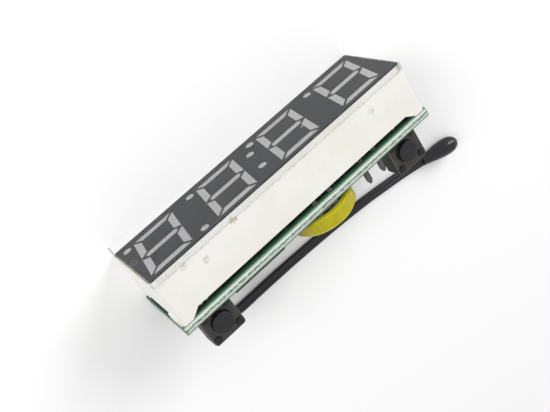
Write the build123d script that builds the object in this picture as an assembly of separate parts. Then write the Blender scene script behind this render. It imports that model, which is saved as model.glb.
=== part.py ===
"""Four-digit seven-segment display module: a moulded reflector display on a circuit board,
with two side-push switches, a sleeved coin cell, bare power pins and a thermistor on a lead.

Millimetres. X runs along the module, the digits face -Y, and the module stands on z = 0.
"""

import os
from math import atan2, degrees, radians, tan

from build123d import *

# Display housing
housing_length = 50.2
housing_height = 15.3
housing_depth = 7.85
housing_corner = 0.6
housing_wall = 0.9
foot_height = 1.15
foot_length = 1.75
foot_slope = 1.75
foot_pad = 0.22
foot_pad_length = 3.6
mask_thickness = 0.12

# Digits
digit_count = 4
digit_pitch = 12.7
digit_height = 12.4
digit_width = 7.7
digit_lift = 0.28
stroke = 1.2
segment_gap = 0.48
slant = 9.4
well_floor_width = 0.49
dot_diameter = 1.4
point_x = 4.26
point_z = -5.66
colon_x = 0.03
colon_z = 2.83
degree_x = 13.67
degree_z = 5.68

# Inside the display
substrate_thickness = 0.8
substrate_recess = 1.05
substrate_clearance = 0.05
die_size = 0.3
die_height = 0.15
pin_diameter = 0.5
pin_pitch = 2.54
pins_per_row = 6
pin_row_spacing = 10.16
pin_offset = -2.54
pin_reach = 0.3

# Clear film over the face
film_thickness = 0.1
film_lip = 1.1
film_flap = 1.4
film_flap_length = 17.0

# Circuit board
board_margin = 0.3
board_top_cut = 0.1
board_thickness = 1.6
score_depth = 0.5
score_width = 0.2
pin_hole = 0.8
leg_hole = 1.0
tab_hole = 1.3
solder_radius = 0.72
solder_tip = 0.34
solder_height = 0.75
clipped_height = 0.3

# Side-push switches
switch_inset = 5.4
switch_size = 6.0
switch_gap = 0.3
switch_drop = 2.25
switch_base = 3.0
switch_corner = 0.35
plate_thickness = 0.3
plate_inset = 0.05
plate_corner = 0.5
rivet_spacing = 4.3
rivet_diameter = 1.0
rivet_head = 1.25
rivet_rise = 0.3
button_diameter = 3.5
button_rise = 0.85
button_travel = 0.25
button_clearance = 0.08
button_gap = 0.03
flange_diameter = 4.1
flange_thickness = 0.5
boss_diameter = 1.8
well_clearance = 0.15
dome_diameter = 4.0
dome_rise = 0.4
dome_thickness = 0.08
tab_width = 1.1
terminal_width = 0.7
terminal_thickness = 0.3
terminal_spacing = 4.5
terminal_drop = 1.6

# Clock chip and controller: body length, width and height; lead pitch, width and span
lead_thickness = 0.2
clock_body = (10.3, 7.5, 2.3)
clock_leads = (1.27, 0.42, 10.3)
clock_lead_count = 16
controller_x = -18.6
controller_z = 4.6
controller_body = (6.5, 4.4, 1.0)
controller_leads = (0.65, 0.24, 6.4)
controller_lead_count = 20
chip_standoff = 0.12
chip_bevel = 0.25

# Supply parts below the cell
regulator_x = -12.4
regulator_drop = 4.5
regulator_body = (4.5, 2.5, 1.5)
regulator_pitch = 1.5
regulator_lead_width = 0.45
regulator_lead_reach = 1.0
diode_x = -12.4
diode_z = 2.5
diode_body = (4.3, 2.6, 2.1)
diode_end = 0.4
diode_tab_width = 1.45

# Chip resistors and capacitors
chip_length = 1.6
chip_width = 0.8
chip_end = 0.3
resistor_height = 0.45
capacitor_height = 0.8
resistor_inset = 2.4
resistor_pitch = 1.5
resistor_rows = (4.9, 7.2)
resistors_per_row = 4
capacitor_offsets = (-3.2, -1.4, 2.6)
capacitor_z = 1.45

# Power pins
power_pin_x = -13.3
power_pin_drop = 1.7
power_pin_spacing = 3.0
power_pin_diameter = 1.0
power_pin_tail = 0.6
power_pin_reach = 2.9
power_pin_taper = 0.6
power_pin_tip = 0.5
power_hole = 0.66

# Coin cell and its sleeve
cell_x = -3.6
cell_level = 0.68
cell_diameter = 11.3
cell_thickness = 2.3
cell_edge = 0.35
cell_gap = 0.55
cap_diameter = 9.2
cap_rise = 0.15
sleeve_wall = 0.13
sleeve_lip = 1.0
tab_strip = 2.4
tab_strip_thickness = 0.15
near_leg_x = -3.4
near_leg_spacing = 3.2
near_leg_rise = 3.5
tab_leg_width = 0.8
far_tab_drop = 6.45

# Thermistor and its flat twin lead
exit_offset = 0.5
exit_z = 1.7
lead_width = 1.8
lead_height = 0.9
wire_diameter = 0.35
wire_hole = 0.7
wire_spacing = 2.54
wire_straight = 0.9
wire_run = 2.7
wire_bend = 0.6
bead_radius = 1.55
bead_length = 7.6

# Places that follow from the sizes above
board_length = housing_length + 2 * board_margin
board_height = housing_height - board_top_cut
switch_x = board_length / 2 - switch_inset
depth = film_flap + film_thickness + housing_depth + foot_height
depth += board_thickness + switch_gap + switch_size
front_y = -depth / 2
face_y = front_y + film_flap + film_thickness
mask_back_y = face_y + mask_thickness
substrate_y = face_y + housing_depth - substrate_recess
wall_y = face_y + housing_depth
board_y = wall_y + foot_height
back_y = board_y + board_thickness
digit_z = housing_height / 2 + digit_lift
switch_y = back_y + switch_gap + switch_size / 2
switch_face_z = board_height - switch_drop
plate_z = switch_face_z - plate_thickness
base_z = plate_z - switch_base
last_pin_x = pin_offset + (pins_per_row - 1) / 2 * pin_pitch
clock_x = (last_pin_x + switch_x - switch_size / 2) / 2
clock_z = digit_z
resistor_x = switch_x - resistor_inset
power_pin_z = board_height - power_pin_drop
regulator_z = power_pin_z - regulator_drop
cell_z = cell_level * housing_height
near_leg_z = cell_z + near_leg_rise
far_tab_z = cell_z - far_tab_drop
lead_z = lead_height / 2 + 0.05

# Route of the thermistor lead, from the board's back to the bead
exit_x = switch_x + exit_offset
exit_y = back_y + wire_run
lead_route = [
    (exit_x, exit_y, exit_z),
    (20.6, 11.0, lead_z),
    (17.0, 14.6, lead_z),
    (10.5, 14.55, lead_z),
    (3.0, 14.65, lead_z),
    (-6.0, 15.05, lead_z),
    (-14.0, 15.65, lead_z),
    (-20.5, 16.55, lead_z),
    (-24.1, 17.1, lead_z),
    (-27.4, 17.55, lead_z + 0.45),
]


def front_plane(y):
    """Plane seen from the front: sketch x is X, sketch y is Z."""
    return Plane(origin=(0, y, 0), x_dir=(1, 0, 0), z_dir=(0, -1, 0))


def plate(sketch, y_front, y_back):
    """Sketch drawn in X and Z, made solid from y_front to y_back."""
    return extrude(front_plane(y_front) * sketch, amount=y_front - y_back)


def side_plane(x):
    """Plane seen from the end: sketch x is Y, sketch y is Z."""
    return Plane(origin=(x, 0, 0), x_dir=(0, 1, 0), z_dir=(1, 0, 0))


def block(x, y, z):
    """Box between two corners given as pairs."""
    size = (x[1] - x[0], y[1] - y[0], z[1] - z[0])
    return Pos((x[0] + x[1]) / 2, (y[0] + y[1]) / 2, (z[0] + z[1]) / 2) * Box(*size)


def peg(x, y, z, radius):
    """Round rod along Y between two y values."""
    return Pos(x, (y[0] + y[1]) / 2, z) * Rot(90, 0, 0) * Cylinder(radius, y[1] - y[0])


def group(pieces):
    """Like pieces kept apart as one group of solids."""
    return Compound(children=[solid for piece in pieces for solid in piece.solids()])


def save(name, shape):
    shape.label = name
    export_step(shape, f"parts/{name}.step")


# Digits

def segment_outlines():
    """Outlines of the seven segments of one upright digit, about its centre."""
    w, h, t = digit_width / 2, digit_height / 2, stroke
    miter = segment_gap / 2 * 2 ** 0.5
    half_gap = segment_gap / 2
    low = half_gap + 0.7 * t
    tip, shoulder = w - 0.62 * t, w - 1.05 * t
    top = [(-w + miter, h), (w - miter, h), (w - t - miter, h - t), (-w + t + miter, h - t)]
    upper = [(w, h - miter), (w, half_gap), (w - t, low), (w - t, h - t - miter)]
    middle = [(-tip, 0), (-shoulder, t / 2), (shoulder, t / 2)]
    middle += [(tip, 0), (shoulder, -t / 2), (-shoulder, -t / 2)]
    outlines = [top, [(x, -z) for x, z in top], middle]
    for side in (1, -1):
        for way in (1, -1):
            outlines.append([(side * x, way * z) for x, z in upper])
    return outlines


def lean(points, centre_x):
    """Outline leaning to the right by the digits' slant, at its place on the face."""
    shift = tan(radians(slant))
    return [(centre_x + x + shift * z, digit_z + z) for x, z in points]


def light_well(outline):
    """Tapered resin light guide from the face back to the lit substrate."""
    face = front_plane(face_y) * outline
    deep = substrate_y - face_y
    taper = degrees(atan2((stroke - well_floor_width) / 2, deep))
    return extrude(face, amount=-deep, taper=taper)


def dot(x, z):
    return light_well(Pos(x, digit_z + z) * Circle(dot_diameter / 2))


def digit_guides(index):
    """Seven segments and the decimal point of one digit."""
    centre_x = (index - (digit_count - 1) / 2) * digit_pitch
    guides = [light_well(make_face(Polyline(*lean(points, centre_x), close=True)))
              for points in segment_outlines()]
    guides.append(dot(centre_x + point_x, point_z))
    return guides


def spare_dots():
    """Two colon dots and the raised degree dot."""
    shift = tan(radians(slant))
    dots = [dot(colon_x + way * shift * colon_z, way * colon_z) for way in (1, -1)]
    return dots + [dot(degree_x, degree_z)]


def die_at(guide):
    """Light-emitting die on the substrate under the middle of a guide."""
    spot = guide.center(CenterOf.BOUNDING_BOX)
    half = die_size / 2
    return block((spot.X - half, spot.X + half), (substrate_y - die_height, substrate_y),
                 (spot.Z - half, spot.Z + half))


# Display body

def housing_outline(inset=0.0):
    centre = Pos(0, housing_height / 2)
    size = (housing_length - 2 * inset, housing_height - 2 * inset)
    return centre * RectangleRounded(*size, max(housing_corner - inset, 0.1))


def face_mask(guides):
    return plate(housing_outline(), face_y, mask_back_y) - guides


def reflector_housing(guides):
    """White moulding with a light well behind each segment, open at the back for the
    substrate, standing on the board on a corner foot at each end of every wall, padded at the ends."""
    body = plate(housing_outline(), mask_back_y, board_y)
    body -= plate(housing_outline(housing_wall), substrate_y, board_y)
    half_long = housing_length / 2 - foot_length
    half_tall = housing_height / 2 - foot_length
    middle_z = housing_height / 2
    long_notch = [(-half_long, board_y), (-half_long + foot_slope, wall_y),
                  (half_long - foot_slope, wall_y), (half_long, board_y)]
    body -= extrude(make_face(Polyline(*long_notch, close=True)), amount=housing_height)
    end_notch = [(board_y, middle_z - half_tall), (wall_y, middle_z - half_tall + foot_slope),
                 (wall_y, middle_z + half_tall - foot_slope), (board_y, middle_z + half_tall)]
    end_face = side_plane(-housing_length / 2) * make_face(Polyline(*end_notch, close=True))
    body -= extrude(end_face, amount=housing_length)
    return body + foot_pads() - guides


def foot_pads():
    """Raised pads where the upper feet were gated, one on each end wall."""
    end, top = housing_length / 2, housing_height - housing_corner
    pads = []
    for side in (1, -1):
        span = sorted((side * (end - foot_pad), side * (end + foot_pad)))
        pad = block(span, (wall_y - foot_pad, board_y), (top - foot_pad_length, top))
        pads.append(chamfer(pad.faces().sort_by(Axis.Y)[0].edges(), foot_pad * 0.9))
    return pads


def pin_places():
    """Centres of the display's pins, two rows seen from the front."""
    places = []
    for row in (1, -1):
        for k in range(pins_per_row):
            x = pin_offset + (k - (pins_per_row - 1) / 2) * pin_pitch
            places.append((x, digit_z + row * pin_row_spacing / 2))
    return places


def display_substrate():
    inset = housing_wall + substrate_clearance
    board = plate(housing_outline(inset), substrate_y, substrate_y + substrate_thickness)
    return board - [peg(x, (substrate_y, wall_y), z, pin_diameter / 2) for x, z in pin_places()]


def display_pins():
    return [peg(x, (substrate_y, back_y + pin_reach), z, pin_diameter / 2)
            for x, z in pin_places()]


def protective_film():
    """Clear film on the face, folded back over the top, its lower edge creased forward."""
    face = plate(Pos(0, housing_height / 2) * Rectangle(housing_length, housing_height),
                 face_y - film_thickness, face_y)
    half = housing_length / 2
    lip = block((-half, half), (face_y - film_thickness, face_y + film_lip),
                (housing_height, housing_height + film_thickness))
    edge_y = face_y - film_thickness
    flap = [(half, edge_y), (half, front_y), (half - film_flap_length, edge_y)]
    return face + lip + extrude(make_face(Polyline(*flap, close=True)), amount=film_thickness)


# Circuit board

def solder_cone(x, z, cut):
    """Solder fillet round a lead on the board's front."""
    cone = Cone(solder_radius, solder_tip, solder_height)
    return Pos(x, board_y - solder_height / 2, z) * Rot(90, 0, 0) * cone - cut


def clipped_joint(x, z):
    """Low solder joint round a pin clipped short on the board's back."""
    cone = Cone(solder_radius * 0.9, solder_radius * 0.6, clipped_height)
    joint = Pos(x, back_y + clipped_height / 2, z) * Rot(-90, 0, 0) * cone
    return joint - peg(x, (board_y, back_y + 1), z, pin_diameter / 2)


def circuit_board(holes):
    """Board with its long edges snapped along a V score."""
    y0, y1, top = board_y, back_y, board_height
    profile = [(y0, score_width), (y0 + score_depth, 0), (y1 - score_depth, 0),
               (y1, score_width), (y1, top - score_width), (y1 - score_depth, top),
               (y0 + score_depth, top), (y0, top - score_width)]
    face = side_plane(-board_length / 2) * make_face(Polyline(*profile, close=True))
    board = extrude(face, amount=board_length)
    return board - [peg(x, (y0, y1), z, size / 2) for x, z, size in holes]


# Surface-mounted parts on the board's back

def chip_body(x, z, size):
    """Moulded chip body with bevelled sides, lying on the board's back."""
    length, width, height = size
    body = block((x - length / 2, x + length / 2),
                 (back_y + chip_standoff, back_y + chip_standoff + height),
                 (z - width / 2, z + width / 2))
    return chamfer(body.faces().sort_by(Axis.Y)[-1].edges(), chip_bevel)


def gull_leads(x, z, body, leads, count):
    """Gull-wing leads along both long sides of a chip."""
    pitch, width, span = leads
    t = lead_thickness
    rise = body[2] * 0.45
    knee = span / 2 - 0.6 * (span - body[1]) / 2
    bend = [(0, span / 2), (t, span / 2), (t, knee), (rise + t, knee),
            (rise + t, body[1] / 2), (rise, body[1] / 2), (rise, knee - t), (0, knee - t)]
    pieces = []
    for side in (1, -1):
        outline = make_face(Polyline(*[(back_y + y, z + side * h) for y, h in bend], close=True))
        for k in range(count // 2):
            left = x + (k - (count // 2 - 1) / 2) * pitch - width / 2
            pieces.append(extrude(side_plane(left) * outline, amount=width))
    return pieces


def regulator():
    """Flat three-lead regulator: body, then its leads and the heat tab opposite them."""
    length, width, height = regulator_body
    x, z = regulator_x, regulator_z
    body = chip_body(x, z, regulator_body)
    low = (back_y, back_y + chip_standoff + lead_thickness)
    half = regulator_lead_width / 2
    leads = [block((x + way * regulator_pitch - half, x + way * regulator_pitch + half),
                   low, (z - width / 2 - regulator_lead_reach, z - width / 2))
             for way in (-1, 0, 1)]
    leads.append(block((x - regulator_pitch / 2, x + regulator_pitch / 2), low,
                       (z + width / 2, z + width / 2 + regulator_lead_reach)))
    return body, leads


def diode():
    """Moulded diode with wrap-under end terminals."""
    x, z = diode_x, diode_z
    length, width, height = diode_body
    body = chip_body(x, z, diode_body)
    ends = [block((x + way * length / 2 - (diode_end if way < 0 else 0),
                   x + way * length / 2 + (diode_end if way > 0 else 0)),
                  (back_y, back_y + height / 2),
                  (z - diode_tab_width / 2, z + diode_tab_width / 2)) for way in (1, -1)]
    return body, ends


def small_chip(x, z, height):
    """Upright chip part: its body and its two end caps."""
    half, end = chip_length / 2, chip_end
    across = (x - chip_width / 2, x + chip_width / 2)
    deep = (back_y, back_y + height)
    body = block(across, deep, (z - half + end, z + half - end))
    caps = [block(across, deep, (z - half, z - half + end)),
            block(across, deep, (z + half - end, z + half))]
    return body, caps


# Side-push switches, built at x = 0

def rivet_places():
    half = rivet_spacing / 2
    return [(sx * half, switch_y + sy * half) for sx in (1, -1) for sy in (1, -1)]


def rod(x, y, z, radius):
    """Round rod along Z between two z values."""
    return Pos(x, y, (z[0] + z[1]) / 2) * Cylinder(radius, z[1] - z[0])


def switch_base_part():
    """Black base with the plunger's well and four posts staked over the cover plate."""
    base = Pos(0, switch_y, base_z + switch_base / 2) * Box(switch_size, switch_size, switch_base)
    base = chamfer(base.edges().filter_by(Axis.Z), switch_corner)
    well = flange_diameter / 2 + well_clearance
    base -= rod(0, switch_y, (well_floor_z(), plate_z), well)
    for x, y in rivet_places():
        post = rod(x, y, (plate_z, switch_face_z), rivet_diameter / 2)
        head = rod(x, y, (switch_face_z, switch_face_z + rivet_rise), rivet_head / 2)
        head = fillet(head.edges().sort_by(Axis.Z)[-1], rivet_rise * 0.8)
        base += [post, head]
    return base


def flange_top_z():
    return plate_z - button_gap


def boss_z():
    """Lower end of the plunger, resting just over the dome."""
    return well_floor_z() + dome_rise + button_gap


def well_floor_z():
    """Floor of the well, deep enough for flange, travel and dome."""
    return flange_top_z() - flange_thickness - button_travel - dome_rise - well_clearance


def switch_plate():
    """Cover plate with the plunger's hole, the post holes and a tab through the board."""
    side = switch_size - 2 * plate_inset
    outline = Pos(0, switch_y) * RectangleRounded(side, side, plate_corner)
    cover = extrude(Plane.XY.offset(plate_z) * outline, amount=plate_thickness)
    tab_y = (board_y - solder_height, switch_y - side / 2 + plate_corner)
    cover += block((-tab_width / 2, tab_width / 2), tab_y, (plate_z, switch_face_z))
    hole = button_diameter / 2 + button_clearance
    cover -= rod(0, switch_y, (plate_z, switch_face_z), hole)
    return cover - [rod(x, y, (plate_z, switch_face_z), rivet_diameter / 2)
                    for x, y in rivet_places()]


def switch_button():
    """Plunger: round stem through the plate, a retaining flange and a boss on the dome."""
    top = switch_face_z + button_rise
    flange_z = flange_top_z()
    stem = rod(0, switch_y, (flange_z, top), button_diameter / 2)
    stem = fillet(stem.edges().sort_by(Axis.Z)[-1], 0.2)
    flange = rod(0, switch_y, (flange_z - flange_thickness, flange_z), flange_diameter / 2)
    boss = rod(0, switch_y, (boss_z(), flange_z - flange_thickness), boss_diameter / 2)
    return stem + flange + boss


def switch_dome():
    """Snap dome of spring steel, arched on the floor of the well."""
    half, t, floor = dome_diameter / 2, dome_thickness, well_floor_z()
    crown = floor + dome_rise
    outer = [(half, floor), (half * 0.55, floor + dome_rise * 0.72), (0, crown)]
    inner = [(half - t, floor), (half * 0.55 - t / 2, floor + dome_rise * 0.72 - t), (0, crown - t)]
    edges = [Line(outer[0], inner[0]), Spline(inner), Line(inner[-1], outer[-1]), Spline(outer)]
    face = Plane.XZ * make_face(Wire(edges))
    return Pos(0, switch_y, 0) * revolve(face, Axis.Z)


def terminal_z():
    return switch_face_z - plate_thickness - terminal_drop


def switch_terminals():
    """Two flat terminals from the base through the board."""
    z = terminal_z()
    near = switch_y - switch_size / 2
    return [block((x - terminal_width / 2, x + terminal_width / 2),
                  (board_y - solder_height, near),
                  (z - terminal_thickness / 2, z + terminal_thickness / 2))
            for x in (-terminal_spacing / 2, terminal_spacing / 2)]


# Power pins, coin cell and thermistor

def power_pin(x):
    """Round pin shouldered on the board's back, with a thinner tail and a tapered tip."""
    end_y = back_y + power_pin_reach - power_pin_taper
    tail = peg(x, (board_y - solder_height, back_y), power_pin_z, power_pin_tail / 2)
    shaft = peg(x, (back_y, end_y), power_pin_z, power_pin_diameter / 2)
    tip = Cone(power_pin_diameter / 2, power_pin_tip / 2, power_pin_taper)
    return tail + shaft + Pos(x, end_y + power_pin_taper / 2, power_pin_z) * Rot(-90, 0, 0) * tip


def power_pin_places():
    half = power_pin_spacing / 2
    return [power_pin_x + half, power_pin_x - half]


def turned(points):
    """Profile of radius and y, revolved about the cell's axis."""
    face = Plane.XY * make_face(Polyline(*points, close=True))
    return Pos(cell_x, 0, cell_z) * revolve(face, Axis.Y)


def cell_near_y():
    return back_y + cell_gap


def cell_far_y():
    return cell_near_y() + cap_rise + cell_thickness


def coin_cell():
    """Pressed can with its smaller cap towards the board."""
    near, far, r = cell_near_y(), cell_far_y(), cell_diameter / 2
    can = near + cap_rise
    return turned([(0, near), (cap_diameter / 2, near), (cap_diameter / 2, can),
                   (r - cell_edge / 2, can), (r, can + cell_edge / 2), (r, far - cell_edge),
                   (r - cell_edge, far), (0, far)])


def cell_sleeve():
    """Shrunk sleeve round the rim, drawn in over both faces."""
    r = cell_diameter / 2
    t = sleeve_wall
    near, far = cell_near_y() + cap_rise, cell_far_y()
    lip = r - sleeve_lip
    near_lip = max(lip, cap_diameter / 2 + t)
    return turned([(near_lip, near - t), (r - cell_edge / 2, near - t), (r + t, near + t),
                   (r + t, far - cell_edge), (r - cell_edge, far + t), (lip, far + t),
                   (lip, far), (r - cell_edge, far), (r, far - cell_edge),
                   (r, near + cell_edge / 2), (r - cell_edge / 2, near), (near_lip, near)])


def near_leg_places():
    half = near_leg_spacing / 2
    return [(near_leg_x + half, near_leg_z), (near_leg_x - half, near_leg_z)]


def cell_near_tab():
    """Tab welded to the cap, with two legs through the board."""
    t = tab_strip_thickness
    y = (cell_near_y() - t, cell_near_y())
    half = near_leg_spacing / 2 + tab_leg_width / 2
    strip = block((near_leg_x - half, near_leg_x + half), y, (cell_z, near_leg_z + t))
    for x, z in near_leg_places():
        strip += block((x - tab_leg_width / 2, x + tab_leg_width / 2),
                       (board_y - solder_height, y[1]), (z, z + t))
    return strip


def cell_far_tab():
    """Tab welded to the can's back, led down past the rim and through the board."""
    t = tab_strip_thickness
    y = (cell_far_y(), cell_far_y() + t)
    half = tab_strip / 2
    rim = cell_z - cell_diameter / 2 + sleeve_lip + tab_strip / 8
    inner = block((cell_x - half, cell_x + half), y, (rim, cell_z + half))
    over = (y[0] + sleeve_wall, y[1] + sleeve_wall)
    outer = block((cell_x - half, cell_x + half), over, (far_tab_z, rim + t))
    leg = block((cell_x - tab_leg_width / 2, cell_x + tab_leg_width / 2),
                (board_y - solder_height, over[1]), (far_tab_z, far_tab_z + t))
    return inner + outer + leg


def wire_places():
    half = wire_spacing / 2
    return [(exit_x - half, exit_z), (exit_x + half, exit_z)]


def thermistor_wires():
    """Bare ends of the twin lead, spread to their two holes."""
    wires = []
    core = lead_height / 2
    for way, (x, z) in zip((-1, 1), wire_places()):
        route = [(exit_x + way * core, exit_y, exit_z), (x, back_y + wire_straight, z),
                 (x, board_y - solder_height, z)]
        path = FilletPolyline(*route, radius=wire_bend)
        section = Plane(path @ 0, z_dir=path % 0) * Circle(wire_diameter / 2)
        wires.append(sweep(section, path=path))
    return wires


def corner_radii(points):
    """Largest tangent arc for each corner: 0.45 of its shorter run."""
    radii = []
    for before, here, after in zip(points, points[1:], points[2:]):
        run_in = Vector(*here) - Vector(*before)
        run_out = Vector(*after) - Vector(*here)
        turn = radians(run_in.get_angle(run_out))
        radii.append(0.45 * min(run_in.length, run_out.length) / tan(turn / 2))
    return radii


def thermistor_lead():
    """Flat twin lead as one oval tube along its route."""
    radii = corner_radii(lead_route)
    print("lead arc radii", [round(r, 1) for r in radii])
    path = FilletPolyline(*lead_route, radius=radii)
    start = Plane(path @ 0, x_dir=(1, 0, 0), z_dir=path % 0)
    oval = SlotOverall(lead_width, lead_height)
    lead = sweep(start * oval, path=path)
    section = oval.area
    print("lead length", round(path.length, 2), "volume ratio",
          round(lead.volume / (section * path.length), 4))
    return lead


def thermistor_bead():
    """Dipped bead at the lead's end, swelling from the lead to a round nose."""
    last = Vector(*lead_route[-1]) - Vector(*lead_route[-2])
    r, length = bead_radius, bead_length
    half = lead_width / 2
    side = Spline((half, 0), (half * 1.25, length * 0.2), (r * 0.96, length * 0.5),
                  (r, length * 0.68), (r * 0.77, length * 0.9), (0, length),
                  tangents=((0.15, 1), (-1, 0)))
    outline = Wire([Line((0, 0), (half, 0)), side, Line((0, length), (0, 0))])
    shape = revolve(Plane.XZ * make_face(outline), Axis.Z)
    return Plane(origin=lead_route[-1], z_dir=last) * shape


def main():
    os.makedirs("parts", exist_ok=True)

    guides = [digit_guides(k) for k in range(digit_count)]
    dots = spare_dots()
    wells = [guide for digit in guides + [dots] for guide in digit]
    dies = [die_at(guide) for guide in wells]

    save("protective_film", protective_film())
    save("face_mask", face_mask(wells))
    save("reflector_housing", reflector_housing(wells))
    places = iter(dies)
    for k, digit in enumerate(guides + [dots]):
        name = f"digit_{k + 1}_segments" if k < digit_count else "colon_and_degree_dots"
        save(name, group([guide - next(places) for guide in digit]))
    save("led_dies", group(dies))
    save("display_substrate", display_substrate())
    save("display_pins", group(display_pins()))
    save("display_solder_joints", group([clipped_joint(x, z) for x, z in pin_places()]))

    save("clock_chip", chip_body(clock_x, clock_z, clock_body))
    save("clock_chip_leads",
         group(gull_leads(clock_x, clock_z, clock_body, clock_leads, clock_lead_count)))
    save("controller_chip", chip_body(controller_x, controller_z, controller_body))
    save("controller_chip_leads",
         group(gull_leads(controller_x, controller_z, controller_body, controller_leads,
                          controller_lead_count)))
    body, leads = regulator()
    save("voltage_regulator", body)
    save("voltage_regulator_leads", group(leads))
    body, ends = diode()
    save("input_diode", body)
    save("input_diode_terminals", group(ends))

    resistors = [small_chip(resistor_x + k * resistor_pitch, z, resistor_height)
                 for z in resistor_rows for k in range(resistors_per_row)]
    capacitors = [small_chip(clock_x + x, capacitor_z, capacitor_height)
                  for x in capacitor_offsets]
    save("chip_resistors", group([body for body, caps in resistors]))
    save("chip_capacitors", group([body for body, caps in capacitors]))
    save("chip_end_caps", group([cap for body, caps in resistors + capacitors for cap in caps]))

    parts = {"base": switch_base_part(), "plate": switch_plate(), "button": switch_button(),
             "dome": switch_dome()}
    terminals = switch_terminals()
    for side, x in (("right", switch_x), ("left", -switch_x)):
        for name, shape in parts.items():
            save(f"{side}_switch_{name}", Pos(x, 0, 0) * shape)
        save(f"{side}_switch_terminals", group([Pos(x, 0, 0) * pin for pin in terminals]))

    save("power_pins", group([power_pin(x) for x in power_pin_places()]))
    save("coin_cell", coin_cell())
    save("cell_sleeve", cell_sleeve())
    save("cell_near_tab", cell_near_tab())
    save("cell_far_tab", cell_far_tab())
    wires = thermistor_wires()
    save("thermistor_wires", group(wires))
    save("thermistor_lead", thermistor_lead())
    save("thermistor_bead", thermistor_bead())

    front = []
    holes = [(x, z, pin_hole) for x, z in pin_places()]
    for x in (switch_x, -switch_x):
        tab_z = switch_face_z - plate_thickness / 2
        holes.append((x, tab_z, tab_hole))
        front.append((x, tab_z, Pos(x, 0, 0) * parts["plate"]))
        for way, pin in zip((-1, 1), terminals):
            terminal_x = x + way * terminal_spacing / 2
            holes.append((terminal_x, terminal_z(), leg_hole))
            front.append((terminal_x, terminal_z(), Pos(x, 0, 0) * pin))
    for x in power_pin_places():
        holes.append((x, power_pin_z, power_hole))
        front.append((x, power_pin_z, power_pin(x)))
    leg_z = tab_strip_thickness / 2
    for x, z in near_leg_places():
        holes.append((x, z + leg_z, leg_hole))
        front.append((x, z + leg_z, cell_near_tab()))
    holes.append((cell_x, far_tab_z + leg_z, leg_hole))
    front.append((cell_x, far_tab_z + leg_z, cell_far_tab()))
    for (x, z), wire in zip(wire_places(), wires):
        holes.append((x, z, wire_hole))
        front.append((x, z, wire))
    save("front_solder_joints", group([solder_cone(*joint) for joint in front]))
    save("circuit_board", circuit_board(holes))


main()
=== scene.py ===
"""Dresses the four-digit display module: finishes, thermistor lead, board print, studio."""

import math

import bpy
from bpy.props import FloatProperty, FloatVectorProperty, IntProperty, PointerProperty
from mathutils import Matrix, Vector


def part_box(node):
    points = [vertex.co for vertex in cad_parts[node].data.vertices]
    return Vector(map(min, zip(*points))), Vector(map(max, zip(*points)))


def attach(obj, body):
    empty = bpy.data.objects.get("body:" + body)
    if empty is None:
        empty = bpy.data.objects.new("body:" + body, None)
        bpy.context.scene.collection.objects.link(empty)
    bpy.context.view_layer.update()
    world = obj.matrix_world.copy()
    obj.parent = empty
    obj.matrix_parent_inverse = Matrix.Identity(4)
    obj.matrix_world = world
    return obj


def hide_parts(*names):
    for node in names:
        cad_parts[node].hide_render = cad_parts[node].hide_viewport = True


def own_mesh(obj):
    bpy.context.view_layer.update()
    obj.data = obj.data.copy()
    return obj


bl_info = {
    "name": "Display module dressing",
    "version": (1, 0, 0),
    "blender": (4, 5, 0),
    "location": "3D View > Sidebar > Display module",
    "description": "Finishes, lead, board print and studio for a four-digit display module",
    "category": "Object",
}

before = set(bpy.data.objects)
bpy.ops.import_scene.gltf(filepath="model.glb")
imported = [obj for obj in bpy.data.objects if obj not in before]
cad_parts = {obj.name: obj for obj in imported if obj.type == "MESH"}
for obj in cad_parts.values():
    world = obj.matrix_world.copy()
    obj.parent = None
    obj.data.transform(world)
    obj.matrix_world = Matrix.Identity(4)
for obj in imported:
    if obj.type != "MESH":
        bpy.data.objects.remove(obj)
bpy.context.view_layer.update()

MM = 0.001
BODY = "module"

# Sockets of a Mix node that blends colours: factor, the two colours and the result
FACTOR, FIRST, SECOND, BLENDED = 0, 6, 7, 2

# Route of the thermistor lead in metres, from the bare wires to the bead
LEAD_ROUTE = [
    (0.0205, 0.0056, 0.0017),
    (0.0206, 0.0110, 0.0005),
    (0.0170, 0.0146, 0.0005),
    (0.0105, 0.01455, 0.0005),
    (0.0030, 0.01465, 0.0005),
    (-0.0060, 0.01505, 0.0005),
    (-0.0140, 0.01565, 0.0005),
    (-0.0205, 0.01655, 0.0005),
    (-0.0241, 0.0171, 0.0005),
    (-0.0274, 0.01755, 0.00095),
]
# Degrees of each core's round that stand outside the groove between the two
CORE_ARC = 290

# Where finishes change, in millimetres: the housing's top, the inked face, the middle of
# the board and of the sleeve, and each switch cover's centre to either side and half width
TOP = 15.3
FACE = -7.7
BOARD_MIDDLE = 2.1
SLEEVE_MIDDLE = 4.68
COVER_BORDER = (20.0, 6.2, 3.0)

# Marks on the housing's top face: x and y in millimetres, radius
SINK_MARKS = [(-17.15, -4.7, 0.95), (16.6, -4.6, 1.0)]
FLUX_MARKS = [(10.15, -6.5, 0.75), (9.6, -6.3, 0.4)]
DIRT_MARKS = [(19.8, -6.2, 0.8), (-3.9, -3.25, 0.22), (22.4, -6.9, 0.25)]

# Joints of the switches on the board's front face: x and z in millimetres, radius in metres
SWITCH_JOINTS = [(-20.9, 13.0), (-19.7, 13.2), (20.9, 13.3), (19.8, 13.3)]
JOINT_RADIUS = 0.00042

# Parts behind the board that have a printed outline, and places of test pads: x and z
OUTLINED_PARTS = ["controller_chip", "voltage_regulator", "input_diode", "right_switch_base",
                  "left_switch_base"]
TEST_PADS = [(16.2, 2.2), (14.4, 2.2), (4.2, 4.6), (3.4, 2.2), (-10.9, 2.0), (-24.0, 2.2),
             (24.0, 2.2)]
INK_THICKNESS = 0.00002

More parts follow.
